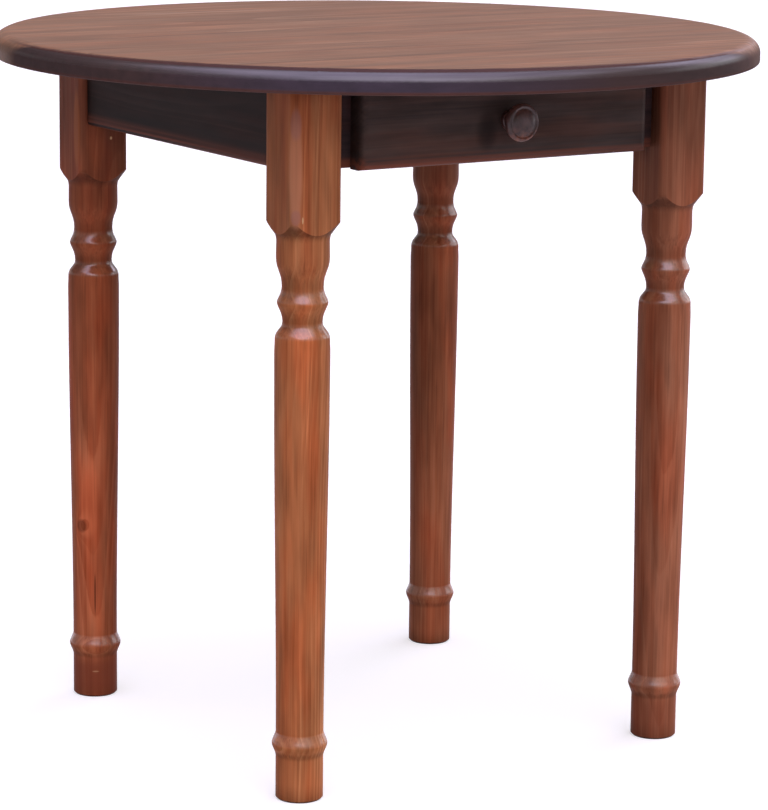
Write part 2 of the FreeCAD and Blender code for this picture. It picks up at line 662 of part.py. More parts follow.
def drawer_knob():
    """Turned knob: a small foot, a waist, and a head with a ring in its face."""
    neck_span = KNOB_RIM_REACH - KNOB_NECK_REACH
    flare = neck_span * QUARTER_ROUND
    ring_floor = KNOB_FACE_REACH - KNOB_RING_DEPTH
    edge_drop = (KNOB_FACE_REACH - KNOB_RIM_REACH) * QUARTER_ROUND
    edge_in = (KNOB_RADIUS - KNOB_RING_OUTER) * QUARTER_ROUND
    ring_middle = (KNOB_RING_OUTER + KNOB_RING_INNER) / 2
    waist = (KNOB_NECK_REACH - KNOB_FOOT_LENGTH) / 2
    shape = turned([
        line((0, 0), (KNOB_FOOT_RADIUS, 0)),
        line((KNOB_FOOT_RADIUS, 0), (KNOB_FOOT_RADIUS, KNOB_FOOT_LENGTH)),
        curve((KNOB_FOOT_RADIUS, KNOB_FOOT_LENGTH), (KNOB_NECK_RADIUS, KNOB_FOOT_LENGTH),
              (KNOB_NECK_RADIUS, KNOB_NECK_REACH - waist), (KNOB_NECK_RADIUS, KNOB_NECK_REACH)),
        curve((KNOB_NECK_RADIUS, KNOB_NECK_REACH), (KNOB_NECK_RADIUS, KNOB_NECK_REACH + flare),
              (KNOB_RADIUS, KNOB_RIM_REACH - flare), (KNOB_RADIUS, KNOB_RIM_REACH)),
        curve((KNOB_RADIUS, KNOB_RIM_REACH), (KNOB_RADIUS, KNOB_RIM_REACH + edge_drop),
              (KNOB_RING_OUTER + edge_in, KNOB_FACE_REACH), (KNOB_RING_OUTER, KNOB_FACE_REACH)),
        curve((KNOB_RING_OUTER, KNOB_FACE_REACH), (ring_middle, ring_floor),
              (ring_middle, ring_floor), (KNOB_RING_INNER, KNOB_FACE_REACH)),
        curve((KNOB_RING_INNER, KNOB_FACE_REACH), (KNOB_RING_INNER - KNOB_CROWN_RISE, KNOB_LENGTH),
              (KNOB_CROWN_RADIUS + KNOB_CROWN_RISE, KNOB_LENGTH), (KNOB_CROWN_RADIUS, KNOB_LENGTH)),
        line((KNOB_CROWN_RADIUS, KNOB_LENGTH), (0, KNOB_LENGTH)),
        line((0, KNOB_LENGTH), (0, 0)),
    ])
    hole = Part.makeCylinder(KNOB_SCREW_RADIUS + FIT, KNOB_SCREW_IN_KNOB + HOLE_SPARE)
    return placed(solid_of(shape.cut(hole)), knob_axis_point(), -Y_AXIS)


def knob_screw():
    """Screw from inside the drawer, through its front into the knob."""
    start = Vector(0, DRAWER_JOINT_Y, KNOB_HEIGHT)
    head = Part.makeCylinder(KNOB_SCREW_HEAD_RADIUS, KNOB_SCREW_HEAD_HEIGHT)
    crown = KNOB_SCREW_HEAD_HEIGHT / 2
    head = rounded_edges(head, crown, lambda edge: edge.Closed and edge.CenterOfMass.z > crown)
    half_width, half_length = RECESS_WIDTH / 2, RECESS_LENGTH / 2
    floor = KNOB_SCREW_HEAD_HEIGHT - RECESS_DEPTH
    ceiling = KNOB_SCREW_HEAD_HEIGHT + CUT_MARGIN
    bars = [block((-half_length, -half_width, floor), (half_length, half_width, ceiling)),
            block((-half_width, -half_length, floor), (half_width, half_length, ceiling))]
    head = placed(solid_of(cut_all(head, bars)), start, Y_AXIS)
    shank = Part.makeCylinder(KNOB_SCREW_RADIUS, DRAWER_FRONT_THICKNESS + KNOB_SCREW_IN_KNOB,
                              start, -Y_AXIS)
    return solid_of(head.fuse(shank))


# ---- all the pieces -------------------------------------------------------------------
def pieces():
    """Every node's name with its shape."""
    top_screws = kicker_screw_sites() + stop_rail_screw_sites() + bracket_screw_sites()
    drilled_disc = cut_all(top_disc(), screw_holes(top_screws))
    blank = leg_blank()
    named = {}
    for index in range(TOP_BOARDS):
        named["top_board_%d" % (index + 1)] = top_board(drilled_disc, index)
    for name, side, front_or_back in LEGS:
        named[name] = leg(blank, side, front_or_back)
    for word, side in (("left", -1), ("right", 1)):
        named["side_apron_" + word] = side_apron(side)
        named["drawer_runner_" + word] = drawer_runner(side)
        named["kicker_" + word] = kicker(side)
        named["drawer_side_" + word] = drawer_side(side)
    named["front_apron"] = front_apron()
    named["back_apron"] = back_apron()
    named["stop_rail"] = stop_rail()
    named["drawer_front"] = drawer_front()
    named["drawer_back"] = drawer_back()
    named["drawer_bottom"] = drawer_bottom()
    named["drawer_knob"] = drawer_knob()
    named["drawer_stop_block"] = stop_block()
    named["knob_screw"] = knob_screw()
    leg_dowel = (LEG_DOWEL_RADIUS, LEG_DOWEL_DEPTH, LEG_DOWEL_DEPTH)
    named["leg_dowels"] = Part.makeCompound(dowels(leg_dowel, all_leg_dowel_sites()))
    named["runner_dowels"] = Part.makeCompound(dowels(RUNNER_DOWEL, runner_dowel_sites()))
    named["drawer_dowels"] = Part.makeCompound(
        dowels(DRAWER_FRONT_DOWEL, drawer_front_dowel_sites())
        + dowels(DRAWER_BACK_DOWEL, drawer_back_dowel_sites()))
    named["drawer_bottom_pins"] = Part.makeCompound([pin(at) for at in pin_sites()])
    named["kicker_screws"] = screws(kicker_screw_sites() + stop_rail_screw_sites())
    named["stop_block_screws"] = screws(stop_block_screw_sites())
    named["top_brackets"] = Part.makeCompound([top_bracket(*site) for site in bracket_corners()])
    named["bracket_screws"] = screws(bracket_screw_sites())
    return named


os.makedirs("parts", exist_ok=True)
for node, shape in pieces().items():
    shape.exportStep(os.path.join("parts", node + ".step"))
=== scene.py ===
import math

import bpy
from mathutils import Matrix, Vector


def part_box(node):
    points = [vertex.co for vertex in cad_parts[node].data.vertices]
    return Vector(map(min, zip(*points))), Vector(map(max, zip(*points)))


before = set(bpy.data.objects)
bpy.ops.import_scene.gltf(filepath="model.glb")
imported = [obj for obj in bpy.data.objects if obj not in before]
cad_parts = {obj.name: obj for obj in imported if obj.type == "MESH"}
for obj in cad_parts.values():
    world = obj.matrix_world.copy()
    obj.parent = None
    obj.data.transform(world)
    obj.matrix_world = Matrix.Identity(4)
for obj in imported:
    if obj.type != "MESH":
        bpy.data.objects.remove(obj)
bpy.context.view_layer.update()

# The looks of a round pine tavern table: stained and varnished top, legs, aprons and
# drawer front, bare pine inside, plywood drawer bottom and zinc-plated fasteners.
# Metres. The wood's grain is solid: it is worked out from the place inside each piece,
# so it runs on from face to face and shows as rings on the ends.
# A pair of limits says where something starts and where it is full. Slopes are the part of
# a surface's normal that points up, or along the grain.

# ---- camera -----------------------------------------------------------------------------
PHOTO_WIDTH = 768
PHOTO_HEIGHT = 810
SENSOR = 36.0                           # millimetres, along the picture's long side
CAMERA_PLACE = Vector((-1.9447, -3.0968, 1.0760))
CAMERA_YAW = math.radians(32.319)       # from +Y towards +X
CAMERA_PITCH = math.radians(-11.367)
CAMERA_ROLL = math.radians(0.676)
CAMERA_FOCAL = 3487.8                   # pixels of the photograph's frame
CAMERA_CLIP_END = 200.0                 # well past the floor's edge

# ---- light ------------------------------------------------------------------------------
# The world is a room. It has even walls on the camera's side, and on the far side a paper
# with a dark wall over it. A wide violet-white panel lies in its dim ceiling, and a small
# bright pane is high on the far side, to the right.
WHITE = (1.0, 1.0, 1.0, 1.0)
FRONTWARD = (-0.53, -0.85)              # level direction from the table to the camera
RIGHTWARD = (0.85, -0.53)               # level direction to the right in the camera's view
WALL_TONE = 0.34
FAR_SIDE = (0.2, -0.2)                  # along FRONTWARD, where the far side takes over
BACKDROP_TONE = 0.44                    # the paper
BACKDROP_HEIGHTS = (0.20, 0.30)         # sines of the elevations where it ends
BACK_WALL_TONE = 0.06
CEILING_TONE = 0.14
CEILING_HEIGHTS = (0.36, 0.54)          # sines where the walls turn into ceiling
PANEL_TONE = 2.35
PANEL_COLOUR = (0.81, 0.73, 1.0, 1.0)   # also the pane's
PANEL_SIDES = (1.15, 0.55)              # its side edges, for a ceiling one metre above
PANEL_BACK = (-0.6, -0.2)               # its far edge there
LEAST_HEIGHT = 0.01                     # sine, keeps those edges' division from zero
GLEAM_TONE = 4.2                        # the pane
GLEAM = (0.805, 0.327, 0.498)           # direction of its middle
GLEAM_REACH = (0.955, 0.985)            # cosines of the angles from its middle
KEY_STRENGTH = 0.75                     # a wide warm sun from the front
KEY_COLOUR = (1.0, 0.94, 0.86)
KEY_FROM = Vector((-0.10, -0.90, 0.72))
KEY_SOFTNESS = math.radians(70)
WINDOW_AIM = Vector((0.0, 0.0, 0.45))   # the window, on the right, faces this point
WINDOW_STAND = Vector((2.45, -0.15, 0.66))      # from that point
WINDOW_WIDTH = 2.0
WINDOW_HEIGHT = 1.6
WINDOW_RADIANCE = 1.5
WINDOW_COLOUR = (0.92, 0.95, 1.0)

# ---- floor ------------------------------------------------------------------------------
FLOOR_RADIUS = 40.0
FLOOR_SIDES = 96
FLOOR_TONE = 0.60
FLOOR_CLOUDS = (2.0, 2.0, 2.0)          # periods per metre of its faint mottling
FLOOR_CLOUD_DEPTH = 0.02
FLOOR_ROUGHNESS = 0.9
FLOOR_SPECULAR = 0.1
FLOOR_LIFT = 0.53                       # paleness that the floor shows by itself


class Field:
    """A number that varies over a surface. Arithmetic on fields adds math nodes."""

    def __init__(self, shader, socket):
        self.shader = shader
        self.socket = socket

    def __add__(self, other):
        return self.shader.math("ADD", self, other)

    def __sub__(self, other):
        return self.shader.math("SUBTRACT", self, other)

    def __rsub__(self, other):
        return self.shader.math("SUBTRACT", other, self)

    def __mul__(self, other):
        return self.shader.math("MULTIPLY", self, other)

    def __truediv__(self, other):
        return self.shader.math("DIVIDE", self, other)

    def fract(self):
        return self.shader.math("FRACT", self)

    def floor(self):
        return self.shader.math("FLOOR", self)

    def absolute(self):
        return self.shader.math("ABSOLUTE", self)

    def maximum(self, other):
        return self.shader.math("MAXIMUM", self, other)

    def minimum(self, other):
        return self.shader.math("MINIMUM", self, other)

    def clamped(self):
        """The number, held between 0 and 1."""
        return self.maximum(0.0).minimum(1.0)

    def step(self, low, high):
        """0 below low and 1 above high, with a smooth rise between, or a fall if high < low."""
        return self.shader.map_range(self, low, high)


class Graph:
    """A node tree that is put together with arithmetic."""

    def __init__(self, tree):
        self.tree = tree

    def add(self, kind, **settings):
        node = self.tree.nodes.new(kind)
        for key, value in settings.items():
            setattr(node, key, value)
        return node

    def feed(self, socket, value):
        if isinstance(value, Field):
            value = value.socket
        if isinstance(value, bpy.types.NodeSocket):
            self.tree.links.new(value, socket)
        else:
            socket.default_value = value

    def math(self, operation, *values):
        node = self.add("ShaderNodeMath", operation=operation)
        for socket, value in zip(node.inputs, values):
            self.feed(socket, value)
        return Field(self, node.outputs[0])

    def root(self, square):
        return self.math("SQRT", square)

    def map_range(self, value, low, high):
        node = self.add("ShaderNodeMapRange", interpolation_type="SMOOTHSTEP")
        self.feed(node.inputs["Value"], value)
        falling = high < low
        node.inputs["From Min"].default_value = min(low, high)
        node.inputs["From Max"].default_value = max(low, high)
        node.inputs["To Min"].default_value = 1.0 if falling else 0.0
        node.inputs["To Max"].default_value = 0.0 if falling else 1.0
        return Field(self, node.outputs["Result"])

    def split(self, vector):
        """The three parts of a vector as fields."""
        node = self.add("ShaderNodeSeparateXYZ")
        self.feed(node.inputs[0], vector)
        return [Field(self, output) for output in node.outputs]

    def join(self, *parts):
        node = self.add("ShaderNodeCombineXYZ")
        for socket, part in zip(node.inputs, parts):
            self.feed(socket, part)
        return node.outputs[0]

    def noise(self, place, detail=2.0, roughness=0.5):
        node = self.add("ShaderNodeTexNoise")
        self.feed(node.inputs["Vector"], place)
        node.inputs["Scale"].default_value = 1.0
        node.inputs["Detail"].default_value = detail
        node.inputs["Roughness"].default_value = roughness
        return node

    def grey_noise(self, place, detail=2.0, roughness=0.5):
        """Noise about 0, mostly within 0.25 either way."""
        return Field(self, self.noise(place, detail, roughness).outputs["Fac"]) - 0.5

    def random(self, number):
        """A different number from 0 to 1 for each whole number."""
        node = self.add("ShaderNodeTexWhiteNoise", noise_dimensions="1D")
        self.feed(node.inputs["W"], number)
        return Field(self, node.outputs["Value"])

    def mix(self, share, first, second):
        """first where share is 0 or less and second where it is 1 or more, both colours."""
        node = self.add("ShaderNodeMix", data_type="RGBA", clamp_factor=True)
        self.feed(node.inputs["Factor"], share)
        self.feed(node.inputs["A"], first)
        self.feed(node.inputs["B"], second)
        return node.outputs["Result"]

    def tint(self, colour, tone):
        """The colour made lighter or darker by a field."""
        node = self.add("ShaderNodeVectorMath", operation="SCALE")
        self.feed(node.inputs[0], colour[:3] if isinstance(colour, tuple) else colour)
        self.feed(node.inputs["Scale"], tone)
        return node.outputs[0]

    def dye(self, colour, factors):
        """The colour with its three parts multiplied by factors."""
        node = self.add("ShaderNodeVectorMath", operation="MULTIPLY")
        self.feed(node.inputs[0], colour)
        self.feed(node.inputs[1], factors)
        return node.outputs[0]

    def crevice(self, reach):
        """1 in the open and less where other surfaces lie within reach."""
        node = self.add("ShaderNodeAmbientOcclusion", samples=8)
        node.inputs["Distance"].default_value = reach
        return Field(self, node.outputs["AO"])

    def bump(self, height, strength, distance):
        node = self.add("ShaderNodeBump")
        node.inputs["Strength"].default_value = strength
        node.inputs["Distance"].default_value = distance
        self.feed(node.inputs["Height"], height)
        return node.outputs["Normal"]


class Shader(Graph):
    """One material's node tree."""

    def __init__(self, name):
        self.material = bpy.data.materials.new(name)
        self.material.use_nodes = True
        super().__init__(self.material.node_tree)
        self.surface = self.tree.nodes["Principled BSDF"]
        self.coordinates = self.add("ShaderNodeTexCoord")
        self.place = self.split(self.coordinates.outputs["Object"])

    def put(self, name, value):
        """Sets an input of the surface, or feeds it."""
        self.feed(self.surface.inputs[name], value)

    def speckle(self, scales, detail=2.0):
        """Noise about 0 with so many periods per metre along X, Y and Z."""
        parts = [part * scale for part, scale in zip(self.place, scales)]
        return self.grey_noise(self.join(*parts), detail)


def rgb(red, green, blue):
    """A colour by its linear parts."""
    return (red, green, blue, 1.0)


# ---- pine -------------------------------------------------------------------------------
# A look: early and late are the colours of the wood in a ring, ring is the rings' spacing and
# drift how far they wander. ring_contrast, vein, streak, line, fibre and blotch say how much
# each of these shows. end is the brightness of end grain, warm the factors on the colour in
# warm places. A look also says how dark the painted shade in crevices gets, and for the legs
# how strong the painted shade towards their tops is (shade) and whether their grooves get it.
TOP_LOOK = dict(
    early=rgb(0.176, 0.090, 0.048), late=rgb(0.372, 0.202, 0.111), ring=0.0042, drift=0.030,
    ring_contrast=0.4, vein=0.10, streak=1.15, line=0.9, fibre=0.8, blotch=0.52,
    end=0.55, warm=(1.12, 1.0, 0.95), crevice_shade=0.0, shade=0.0, grooves=False,
    roughness=0.48, roughness_spread=0.2, bump=0.25,
    specular=0.42, coat=0.0, coat_roughness=0.28, coat_ior=2.0,
)
LEG_LOOK = dict(
    early=rgb(0.310, 0.093, 0.030), late=rgb(0.520, 0.215, 0.085), ring=0.0046, drift=0.026,
    ring_contrast=0.50, vein=0.18, streak=0.85, line=0.6, fibre=0.6, blotch=1.00,
    end=0.5, warm=(1.08, 0.82, 0.72), crevice_shade=0.85, shade=0.0, grooves=True,
    roughness=0.50, roughness_spread=0.12, bump=0.20,
    specular=0.04, coat=0.85, coat_roughness=0.20, coat_ior=1.9,
)
DARK_LOOK = dict(
    early=rgb(0.021, 0.0125, 0.0118), late=rgb(0.036, 0.0185, 0.0150), ring=0.0040, drift=0.030,
    ring_contrast=0.5, vein=0.10, streak=1.2, line=0.5, fibre=0.4, blotch=1.0,
    end=0.7, warm=(1.25, 0.95, 0.85), crevice_shade=0.4, shade=0.0, grooves=False,
    roughness=0.52, roughness_spread=0.10, bump=0.15,
    specular=0.05, coat=0.8, coat_roughness=0.25, coat_ior=1.8,
)
PLAIN_LOOK = dict(
    early=rgb(0.60, 0.40, 0.20), late=rgb(0.42, 0.22, 0.085), ring=0.0034, drift=0.030,
    ring_contrast=0.6, vein=0.08, streak=0.5, line=0.2, fibre=0.20, blotch=0.30,
    end=0.75, warm=(1.0, 0.95, 0.88), crevice_shade=0.25, shade=0.0, grooves=False,
    roughness=0.62, roughness_spread=0.10, bump=0.2,
    specular=0.4, coat=0.0,
)

GRAIN_AXES = {"X": (1, 2, 0), "Y": (2, 0, 1), "Z": (0, 1, 2)}   # across, across, along
SEED_STRIDE = (7.31, 3.77, 1.93)        # how far apart the noises of two seeds lie
# Noises in the wood: periods per metre across and along the grain, a shift that keeps each
# apart from the others, and for some the detail and the roughness.
DRIFT = (9.0, 2.6, 0.0)
RIPPLE = (60.0, 5.0, 3.0, 1.0)
CLEARNESS = (24.0, 2.4, 11.0, 1.0)
FIBRES = (620.0, 9.0, 1.0, 3.0, 0.6)
STREAKS = (95.0, 1.8, 2.0)
LINES = (250.0, 1.5, 4.0, 1.0)
VEINS = (420.0, 7.0, 17.0)
MOTTLE = (14.0, 3.0, 5.0)
CLOUDS = (75.0, 13.0, 15.0)
HUES = (40.0, 6.5, 8.0)

TRUNK_TAPER = 0.012                     # how much the rings move outward per metre of trunk
RIPPLE_DEPTH = 0.0020
SPACING_SCALE = 0.31                    # periods per ring of the noise that spaces the rings
SPACING_SPREAD = 2.2                    # in rings
LATEWOOD_RISE = (0.30, 0.90)            # where in a ring the late wood comes
LATEWOOD_FALL = (1.0, 0.93)             # and goes, with the next ring
FAINTEST_RING = 0.2
CLEAR_LIMITS = (-0.12, 0.12)            # of CLEARNESS: the rings are faint below these
CLEAR_LEAST = 0.1
VEIN_LIMITS = (0.06, 0.20)
LATE_SHARE = 0.32                       # share of the late wood's colour between the rings
HUE_LIMITS = (-0.10, 0.18)              # of HUES: warm above these
END_GRAIN_SLOPES = (0.55, 0.92)
LATEWOOD_SMOOTHNESS = 0.5
FIBRE_ROUGHNESS = 0.5
LATEWOOD_RELIEF = 0.5
FIBRE_RELIEF = 0.6
RELIEF_DEPTH = 0.0004
CROWN_SLOPES = (0.10, 0.34)             # where the polish of what faces up starts and is full

# Knots. Lengths are in radii of the knot, but PITH_LIMITS is in metres.
PITH_LIMITS = (0.0, 0.004)              # from the pith, where a branch starts
KNOT_SQUASH = 0.6                       # square of the knot's width over its length
BEND_DEPTH = 1.5                        # how far the knot pushes the rings aside
BEND_REACH = 2.4                        # and how far around it
KNOT_CORE = (1.05, 0.8)
KNOT_RIM_INSIDE = (0.7, 1.0)
KNOT_RIM_OUTSIDE = (1.5, 1.05)
KNOT_CORE_DARKNESS = 0.45
KNOT_RIM_DARKNESS = 0.35

CREVICE_REACH = 0.020                   # painted shade darkens where other surfaces are this near
PATCH_FADE = (1.0, 0.3)                 # squares of the distance from a mark's middle
SIDE_SHADE_WANDER = 0.02                     # how far MOTTLE moves the edge of the painted side shade
SHADE_HEIGHTS = (0.45, 0.70)            # painted shade darkens the legs between these heights, under the top
SHADE_COLOUR = rgb(0.047, 0.032, 0.027)
SHADE_MOTTLE = 1.2                      # how much MOTTLE varies it
TURNED_DEPTH = 0.0005                   # the turned part lies deeper than this under the square
GROOVE_FADE = (1.0, 0.1)                # from a band's middle, in half widths
LEG_GROOVE_SHADES = (                         # height, half width and depth of painted shade, with pooled stain, in the grooves:
    (0.5760, 0.0120, 0.50),             # under the square, the painted shadow of its faces
    (0.5200, 0.0130, 0.22),             # in the two necks
    (0.4850, 0.0120, 0.25),
    (0.0475, 0.0050, 0.25),             # under the foot bead
)


def stained(look, red, green, blue):
    """The same wood under a stain that dims its colour's three parts."""
    factors = (red, green, blue, 1.0)
    early = tuple(part * factor for part, factor in zip(look["early"], factors))
    late = tuple(part * factor for part, factor in zip(look["late"], factors))
    return dict(look, early=early, late=late)


class Pine(Shader):
    """Solid pine: rings round a pith, fibres along the grain, knots, a stain and marks in it."""

    def __init__(self, name, node, grain, look, seed, pith, knots=(), marks=(), side_shades=()):
        super().__init__(name)
        self.look = look
        low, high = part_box(node)
        centre = (low + high) / 2
        self.half = (high.x - low.x) / 2
        normal = self.split(self.coordinates.outputs["Normal"])
        first, second, along = GRAIN_AXES[grain]
        self.slope = normal[2]
        self.a = self.place[first] - centre[first]
        self.b = self.place[second] - centre[second]
        self.t = self.place[along] - centre[along]
        self.seed = seed
        self.end_grain = normal[along].absolute().step(*END_GRAIN_SLOPES)
        self.pith = pith
        self.knots = knots
        self.marks = marks
        self.side_shades = side_shades
        self.grow()

    def stretched(self, across, along, shift):
        """The place in the wood, scaled across and along the grain, for a noise."""
        start = [self.seed * stride for stride in SEED_STRIDE]
        return self.join(
            self.a * across + (start[0] + shift),
            self.b * across + (start[1] - shift),
            self.t * along + (start[2] + shift * 2),
        )

    def figure(self, across, along, shift, detail=2.0, roughness=0.5):
        """Noise about 0, stretched along the grain."""
        return self.grey_noise(self.stretched(across, along, shift), detail, roughness)

    def grow(self):
        """The rings, the fibres, the mottling and the knots."""
        drift = self.split(self.noise(self.stretched(*DRIFT), detail=1.0).outputs["Color"])
        a = self.a - self.pith[0] + (drift[0] - 0.5) * self.look["drift"]
        b = self.b - self.pith[1] + (drift[1] - 0.5) * self.look["drift"]
        radius = self.root(a * a + b * b) + self.t * TRUNK_TAPER
        radius = radius + self.figure(*RIPPLE) * RIPPLE_DEPTH
        self.knot = None
        self.knot_rim = None
        for at, size in self.knots:
            bulge, core, rim = self.branch(at, size)
            radius = radius + bulge
            self.knot = core if self.knot is None else self.knot.maximum(core)
            self.knot_rim = rim if self.knot_rim is None else self.knot_rim.maximum(rim)
        count = radius / self.look["ring"]
        spacing = self.grey_noise(self.join(count * SPACING_SCALE, self.seed, 0.0), detail=1.0)
        count = count + spacing * SPACING_SPREAD
        phase = count.fract()
        strength = self.random(count.floor() + self.seed) * (1 - FAINTEST_RING) + FAINTEST_RING
        clear = self.figure(*CLEARNESS).step(*CLEAR_LIMITS) * (1 - CLEAR_LEAST) + CLEAR_LEAST
        late = phase.step(*LATEWOOD_RISE) * phase.step(*LATEWOOD_FALL)
        self.latewood = late * strength * clear
        self.fibres = self.figure(*FIBRES)
        self.streaks = self.figure(*STREAKS)
        self.lines = self.figure(*LINES)
        self.veins = self.figure(*VEINS).step(*VEIN_LIMITS)
        self.mottle = self.figure(*MOTTLE)
        self.clouds = self.figure(*CLOUDS)
        self.warmth = self.figure(*HUES).step(*HUE_LIMITS)

    def branch(self, at, size):
        """A branch from the pith out through a point: how far it bends the rings, and its knot."""
        first, second, along = at
        reach = math.hypot(first - self.pith[0], second - self.pith[1])
        way = ((first - self.pith[0]) / reach, (second - self.pith[1]) / reach)
        a = self.a - self.pith[0]
        b = self.b - self.pith[1]
        side = a * -way[1] + b * way[0]
        outward = a * way[0] + b * way[1]
        rise = self.t - along
        gap = self.root(side * side + rise * rise * KNOT_SQUASH)
        present = outward.step(*PITH_LIMITS)
        fall = self.math("EXPONENT", gap * gap * (-1 / (BEND_REACH * size) ** 2))
        core, inside, outside = (
            gap.step(size * start, size * full)
            for start, full in (KNOT_CORE, KNOT_RIM_INSIDE, KNOT_RIM_OUTSIDE)
        )
        return fall * (BEND_DEPTH * size) * present, core * present, inside * outside * present

    def patch(self, at, reach):
        """1 in the middle of an oval patch and 0 outside it, placed from the piece's middle."""
        a = (self.a - at[0]) / reach[0]
        b = (self.b - at[1]) / reach[1]
        t = (self.t - at[2]) / reach[2]
        return (a * a + b * b + t * t).step(*PATCH_FADE)

    def tone(self):
        """How light the wood is: fibres, blotches, veins, end grain, knots and painted shade."""
        look = self.look
        tone = self.fibres * look["fibre"] + (self.mottle + self.clouds) * look["blotch"] + 1.0
        tone = tone * (1.0 - self.veins * look["vein"])
        tone = tone * (1.0 - self.end_grain * (1 - look["end"]))
        # painted shade in crevices, where other surfaces lie near (ambient occlusion)
        if look["crevice_shade"]:
            tone = tone * (self.crevice(CREVICE_REACH) * look["crevice_shade"] + (1 - look["crevice_shade"]))
        if self.knots:
            tone = tone * (1.0 - self.knot * KNOT_CORE_DARKNESS)
            tone = tone * (1.0 - self.knot_rim * KNOT_RIM_DARKNESS)
        # painted shade on one side of the leg, across it along a direction in the camera's view
        for way, start, full, depth in self.side_shades:
            inward = self.a * way[0] + self.b * way[1] + self.mottle * SIDE_SHADE_WANDER
            tone = tone * (1.0 - inward.step(start, full) * depth)
        # painted shade in the turned grooves: under the square, in the necks and under the foot
        # bead
        if look["grooves"]:
            across = self.a.absolute().maximum(self.b.absolute())
            turned = across.step(self.half, self.half - TURNED_DEPTH)
            for middle, reach, depth in LEG_GROOVE_SHADES:
                groove = ((self.place[2] - middle) / reach).absolute().step(*GROOVE_FADE)
                tone = tone * (1.0 - groove * turned * depth)
        return tone

    def colour(self):
        """The stained wood's colour, with painted shade in it and marks on it."""
        look = self.look
        late = self.latewood * look["ring_contrast"] + self.streaks * look["streak"]
        late = late + LATE_SHARE + self.lines * look["line"]
        colour = self.mix(late, look["early"], look["late"])
        colour = self.mix(self.warmth, colour, self.dye(colour, look["warm"]))
        tone = self.tone()
        colour = self.tint(colour, tone)
        # painted shade, darker towards the top of the leg, under the tabletop
        if look["shade"]:
            shade = self.place[2].step(*SHADE_HEIGHTS) * (self.mottle * SHADE_MOTTLE + 1.0)
            colour = self.mix(shade * look["shade"], colour, self.tint(SHADE_COLOUR, tone))
        for at, reach, mark, share in self.marks:
            colour = self.mix(self.patch(at, reach) * share, colour, mark)
        return colour

    def gloss(self):
        """The roughness of the finish: the hard latewood lies a little smoother."""
        rough = self.latewood * -LATEWOOD_SMOOTHNESS + self.streaks
        rough = rough + self.fibres * FIBRE_ROUGHNESS
        return rough * self.look["roughness_spread"] + self.look["roughness"]

    def polish(self):
        """Where the finish is rubbed up to a shine: on what faces up."""
        return self.slope.step(*CROWN_SLOPES) * self.look["coat"]

    def finish(self, colour=None, roughness=None, coat=None):
        """Connects the shader and returns the material."""
        look = self.look
        relief = self.fibres * FIBRE_RELIEF + self.latewood * LATEWOOD_RELIEF
        self.put("Base Color", colour or self.colour())
        self.put("Roughness", roughness or self.gloss())
        self.put("Normal", self.bump(relief, look["bump"], RELIEF_DEPTH))
        self.put("Specular IOR Level", look["specular"])
        if look["coat"] or coat:
            self.put("Coat Weight", coat or self.polish())
            self.put("Coat Roughness", look["coat_roughness"])
            self.put("Coat IOR", look["coat_ior"])
        return self.material


def dress(node, material):
    """Gives a CAD node its material."""
    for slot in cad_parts[node].material_slots:
        slot.material = material


# ---- top: eight boards, dark and glossy on the rounded rim --------------------------------
# The rim's ends are its two places furthest to the right and left in the camera's view.
TOP_BOARDS = 8
TOP_SEED = 11.0
TOP_SEED_STEP = 2.7
TOP_PITH_ASIDE = 0.020
TOP_PITH_DEPTH = 0.055
RIM_START = 0.3850                      # from the middle of the top, where the dark stain starts
RIM_WANDER = 0.0075                     # how much further out it starts at the ends: painted light
RIM_RAGGED = 0.003                      # how far the streaks move it
RIM_FADE = 0.0025                       # the width in which it fades in
RIM_BLUR = 7.0                          # how much wider that is at the ends: painted light
RIM_BLUR_LEAN = 0.60                    # less so by this share on the right, more on the left
RIM_BLUR_ENDS = (0.76, 0.95)            # squared cosines of the angle from an end
RIM_COLOUR = rgb(0.041, 0.0195, 0.0165)
RIM_PAINTED_REFLECTION = rgb(0.034, 0.0220, 0.0345)   # a painted violet reflection in the middle of the front and back
RIM_REFLECTION_FADE = 3.0                     # how fast it gives way towards the ends
# painted light at the ends: a paler brown
RIM_LIT_END_COLOUR = rgb(0.090, 0.041, 0.031)
RIM_FOOT = (0.7205, 0.7180)             # heights: the stain is thin on the lower edge
RIM_STREAK = 0.8                        # how much the streaks show in it
RIM_SHADE = 0.34                        # painted shade: how much darker it is at the ends
RIM_LINE_COLOUR = rgb(0.062, 0.020, 0.014)      # a red line just inside the stain
RIM_LINE_SLOPES = (0.82, 0.90)          # it ends where the rounding grows steeper
RIM_LINE_SHARE = 0.8
RIM_ROUGHNESS = 0.85
RIM_SLOPES = (0.15, 0.45)               # the coat thins out where the rim turns down
RIM_COAT = 0.60
RIM_WEAR = (9.0, 9.0, 260.0)            # periods per metre of the coat's wear
RIM_WEAR_DEPTH = 1.6
RIM_DULL = 0.7                          # share of the coat that the end grain has taken up
RIM_DRY = 0.7                           # how much less it mirrors there
STREAK_COLOUR = rgb(0.060, 0.022, 0.015)
STREAK_SHARE = 0.45
# Dark streaks in the wood, by board: place across, place along, half width, half length.
TOP_STREAKS = {
    5: (
        (-0.006, -0.285, 0.0022, 0.075),
        (-0.002, -0.185, 0.0042, 0.095),
        (0.008, -0.030, 0.0028, 0.090),
        (-0.018, 0.120, 0.0030, 0.110),
    ),
    6: ((-0.012, 0.060, 0.0030, 0.120), (0.030, -0.090, 0.0024, 0.060)),
    4: ((0.020, 0.110, 0.0028, 0.090), (-0.030, -0.210, 0.0018, 0.050)),
    2: ((-0.004, 0.020, 0.0020, 0.070),),
}


